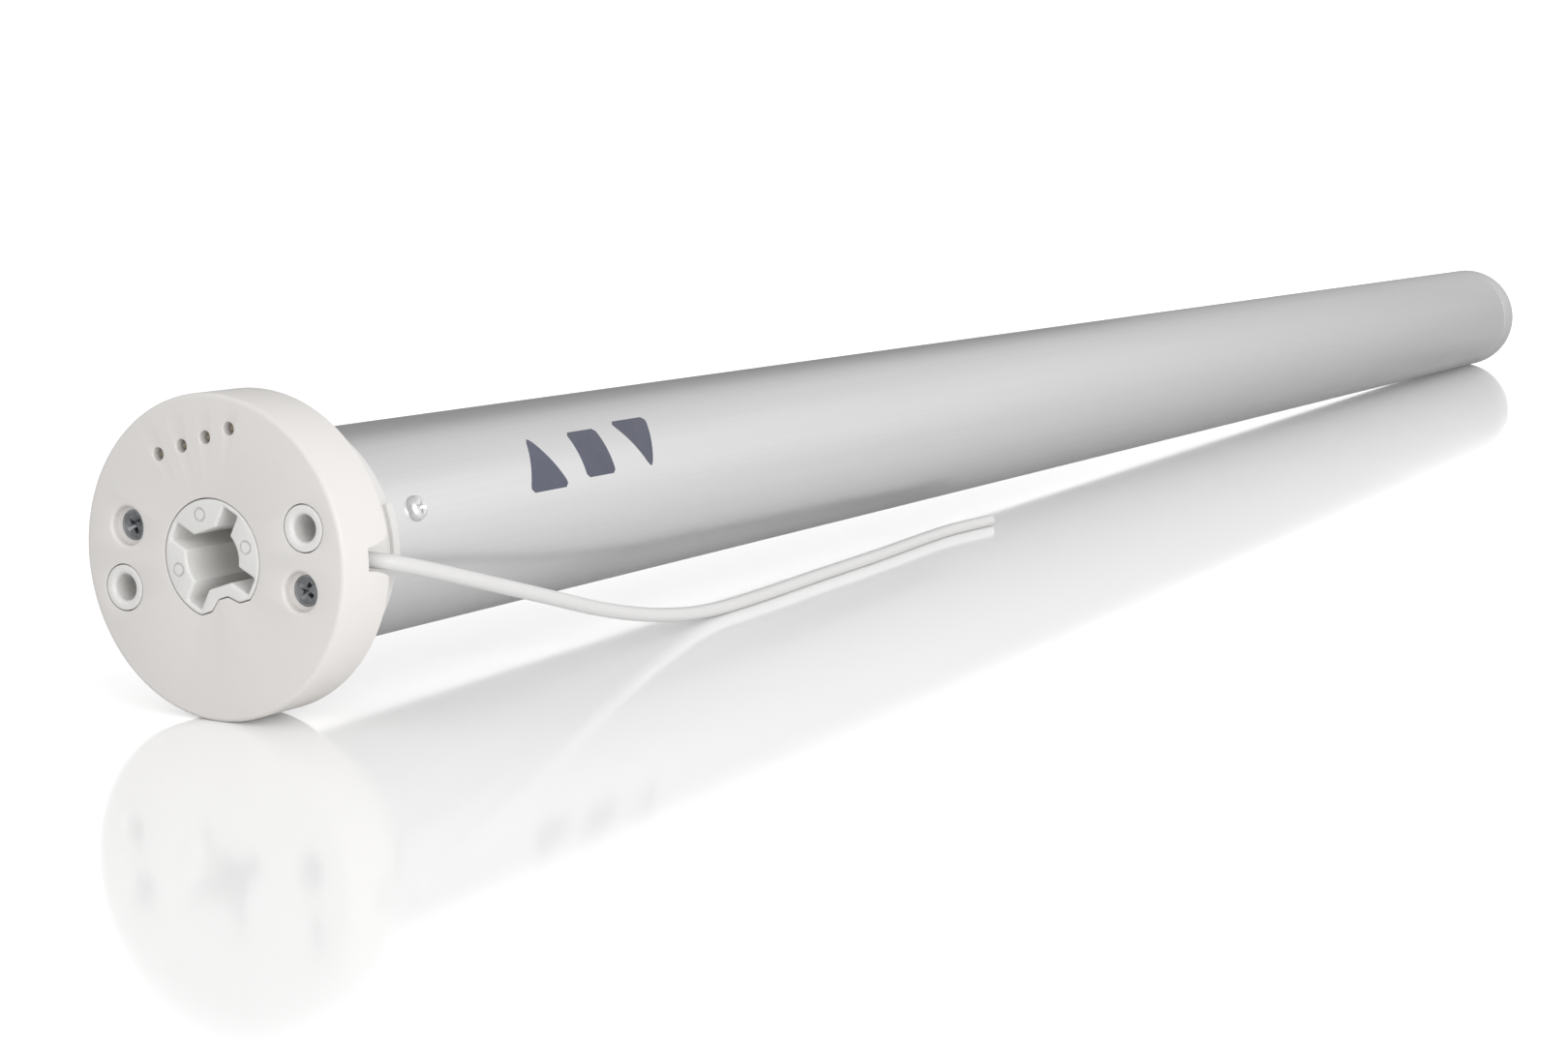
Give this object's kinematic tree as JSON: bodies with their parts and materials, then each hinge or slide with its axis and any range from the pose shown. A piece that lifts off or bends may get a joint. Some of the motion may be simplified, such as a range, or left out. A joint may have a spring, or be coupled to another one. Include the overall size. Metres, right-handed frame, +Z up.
{
  "type": "roller shutter motor",
  "caption": "Slim tubular drive for a roller shutter: round head with a star-shaped socket, loose crown ring, aluminium tube, planetary gears, drive shaft and short bare-ended lead.",
  "frame": {"origin": "centre of the head's outer face, on the motor's axis", "axes": "+X along the motor from the head to the drive shaft, +Z up with the motor lying on its side, +Y away from the side where the lead lies"},
  "size_m": [0.83, 0.0625, 0.058],
  "materials": {
    "cover_plastic": "warm white moulded plastic, fine satin texture",
    "core_plastic": "off-white moulded plastic",
    "insert_plastic": "warm white moulded plastic, slightly smoother",
    "bush_plastic": "smooth off-white plastic",
    "dome_plastic": "pale grey-white moulded plastic",
    "anodised_tube": "satin anodised, fine lengthwise drawing lines",
    "zinc_steel": "clear zinc plated",
    "turned_steel": "turned, lightly oiled",
    "motor_steel": "zinc plated deep-drawn sheet",
    "laminated_steel": "stacked laminations, varnished",
    "copper_winding": "enamelled copper wire",
    "brass_pin": "bright brass",
    "bearing_bronze": "sintered bronze, oil filled",
    "magnet_ferrite": "sintered ferrite, dark grey",
    "carbon_brush": "pressed carbon",
    "gear_plastic": "natural acetal, greased",
    "seal_rubber": "black elastomer",
    "lead_jacket": "white flexible sheath, satin",
    "wire_insulation": "insulated wire",
    "board_laminate": "green solder mask",
    "terminal_plastic": "dark glass-filled plastic",
    "component_sleeve": "black shrink sleeve",
    "radio_can": "tinned sheet",
    "cell_sleeve": "plain blue shrink sleeve"
  },
  "bodies": {
    "housing": {"head_cover": "cover_plastic", "head_core": "core_plastic", "star_socket": "insert_plastic", "guide_bush_left": "bush_plastic", "guide_bush_right": "bush_plastic", "face_screws": "zinc_steel", "setting_contacts": "brass_pin", "cord_clamp": "zinc_steel", "clamp_screw": "zinc_steel", "seal_ring": "seal_rubber", "tube_screws": "zinc_steel", "motor_tube": "anodised_tube", "supply_cord": "lead_jacket", "lead_wires": "wire_insulation", "board_tray": "core_plastic", "control_board": "board_laminate", "terminal_block": "terminal_plastic", "filter_capacitor": "component_sleeve", "radio_module": "radio_can", "battery_carrier": "core_plastic", "battery_cell_1": "cell_sleeve", "battery_cell_2": "cell_sleeve", "battery_cell_3": "cell_sleeve", "battery_cell_4": "cell_sleeve", "motor_can": "motor_steel", "motor_end_cap": "terminal_plastic", "magnet_upper": "magnet_ferrite", "magnet_lower": "magnet_ferrite", "brush_left": "carbon_brush", "brush_right": "carbon_brush", "front_bearing": "bearing_bronze", "rear_bearing": "bearing_bronze", "motor_dampers": "seal_rubber", "brake_drum": "turned_steel", "ring_gear": "gear_plastic", "end_dome": "dome_plastic", "output_bearing": "bearing_bronze"},
    "crown": {"crown_ring": "cover_plastic"},
    "rotor": {"motor_shaft": "turned_steel", "armature": "laminated_steel", "winding": "copper_winding", "commutator": "brass_pin", "sun_pinion": "turned_steel", "brake_hub": "gear_plastic", "brake_band": "turned_steel"},
    "first_carrier": {"carrier_1": "gear_plastic"},
    "second_carrier": {"carrier_2": "turned_steel"},
    "drive": {"carrier_3": "turned_steel", "output_shaft": "turned_steel", "retaining_ring": "turned_steel"},
    "planet_1a": {"planet_1a": "gear_plastic"},
    "planet_1b": {"planet_1b": "gear_plastic"},
    "planet_1c": {"planet_1c": "gear_plastic"},
    "planet_2a": {"planet_2a": "turned_steel"},
    "planet_2b": {"planet_2b": "turned_steel"},
    "planet_2c": {"planet_2c": "turned_steel"},
    "planet_3a": {"planet_3a": "turned_steel"},
    "planet_3b": {"planet_3b": "turned_steel"},
    "planet_3c": {"planet_3c": "turned_steel"}
  },
  "joints": [
    {"name": "drive_spin", "type": "hinge", "parent": "housing", "child": "drive", "pos_m": [0.7, 0, 0], "axis": [1, 0, 0], "continuous": true},
    {"name": "crown_spin", "type": "hinge", "parent": "housing", "child": "crown", "pos_m": [0.018, 0, 0], "axis": [1, 0, 0], "continuous": true},
    {"name": "second_carrier_spin", "type": "hinge", "parent": "housing", "child": "second_carrier", "pos_m": [0.628, 0, 0], "axis": [1, 0, 0], "continuous": true},
    {"name": "first_carrier_spin", "type": "hinge", "parent": "housing", "child": "first_carrier", "pos_m": [0.607, 0, 0], "axis": [1, 0, 0], "continuous": true},
    {"name": "rotor_spin", "type": "hinge", "parent": "housing", "child": "rotor", "pos_m": [0.54, 0, 0], "axis": [1, 0, 0], "continuous": true},
    {"name": "planet_1a_spin", "type": "hinge", "parent": "first_carrier", "child": "planet_1a", "pos_m": [0.598, 0.0096, -0.00321], "axis": [1, 0, 0], "continuous": true},
    {"name": "planet_1b_spin", "type": "hinge", "parent": "first_carrier", "child": "planet_1b", "pos_m": [0.598, -0.00202, 0.00992], "axis": [1, 0, 0], "continuous": true},
    {"name": "planet_1c_spin", "type": "hinge", "parent": "first_carrier", "child": "planet_1c", "pos_m": [0.598, -0.00758, -0.00671], "axis": [1, 0, 0], "continuous": true},
    {"name": "planet_2a_spin", "type": "hinge", "parent": "second_carrier", "child": "planet_2a", "pos_m": [0.618, 0.0096, -0.00321], "axis": [1, 0, 0], "continuous": true},
    {"name": "planet_2b_spin", "type": "hinge", "parent": "second_carrier", "child": "planet_2b", "pos_m": [0.618, -0.00202, 0.00992], "axis": [1, 0, 0], "continuous": true},
    {"name": "planet_2c_spin", "type": "hinge", "parent": "second_carrier", "child": "planet_2c", "pos_m": [0.618, -0.00758, -0.00671], "axis": [1, 0, 0], "continuous": true},
    {"name": "planet_3a_spin", "type": "hinge", "parent": "drive", "child": "planet_3a", "pos_m": [0.641, 0.0096, -0.00321], "axis": [1, 0, 0], "continuous": true},
    {"name": "planet_3b_spin", "type": "hinge", "parent": "drive", "child": "planet_3b", "pos_m": [0.641, -0.00202, 0.00992], "axis": [1, 0, 0], "continuous": true},
    {"name": "planet_3c_spin", "type": "hinge", "parent": "drive", "child": "planet_3c", "pos_m": [0.641, -0.00758, -0.00671], "axis": [1, 0, 0], "continuous": true}
  ],
  "couplings": [
    {"joint": "first_carrier_spin", "follows": "rotor_spin", "ratio": 0.22222},
    {"joint": "second_carrier_spin", "follows": "rotor_spin", "ratio": 0.049383},
    {"joint": "drive_spin", "follows": "rotor_spin", "ratio": 0.010974},
    {"joint": "planet_1a_spin", "follows": "rotor_spin", "ratio": -0.62222},
    {"joint": "planet_1b_spin", "follows": "rotor_spin", "ratio": -0.62222},
    {"joint": "planet_1c_spin", "follows": "rotor_spin", "ratio": -0.62222},
    {"joint": "planet_2a_spin", "follows": "rotor_spin", "ratio": -0.13827},
    {"joint": "planet_2b_spin", "follows": "rotor_spin", "ratio": -0.13827},
    {"joint": "planet_2c_spin", "follows": "rotor_spin", "ratio": -0.13827},
    {"joint": "planet_3a_spin", "follows": "rotor_spin", "ratio": -0.030727},
    {"joint": "planet_3b_spin", "follows": "rotor_spin", "ratio": -0.030727},
    {"joint": "planet_3c_spin", "follows": "rotor_spin", "ratio": -0.030727}
  ]
}
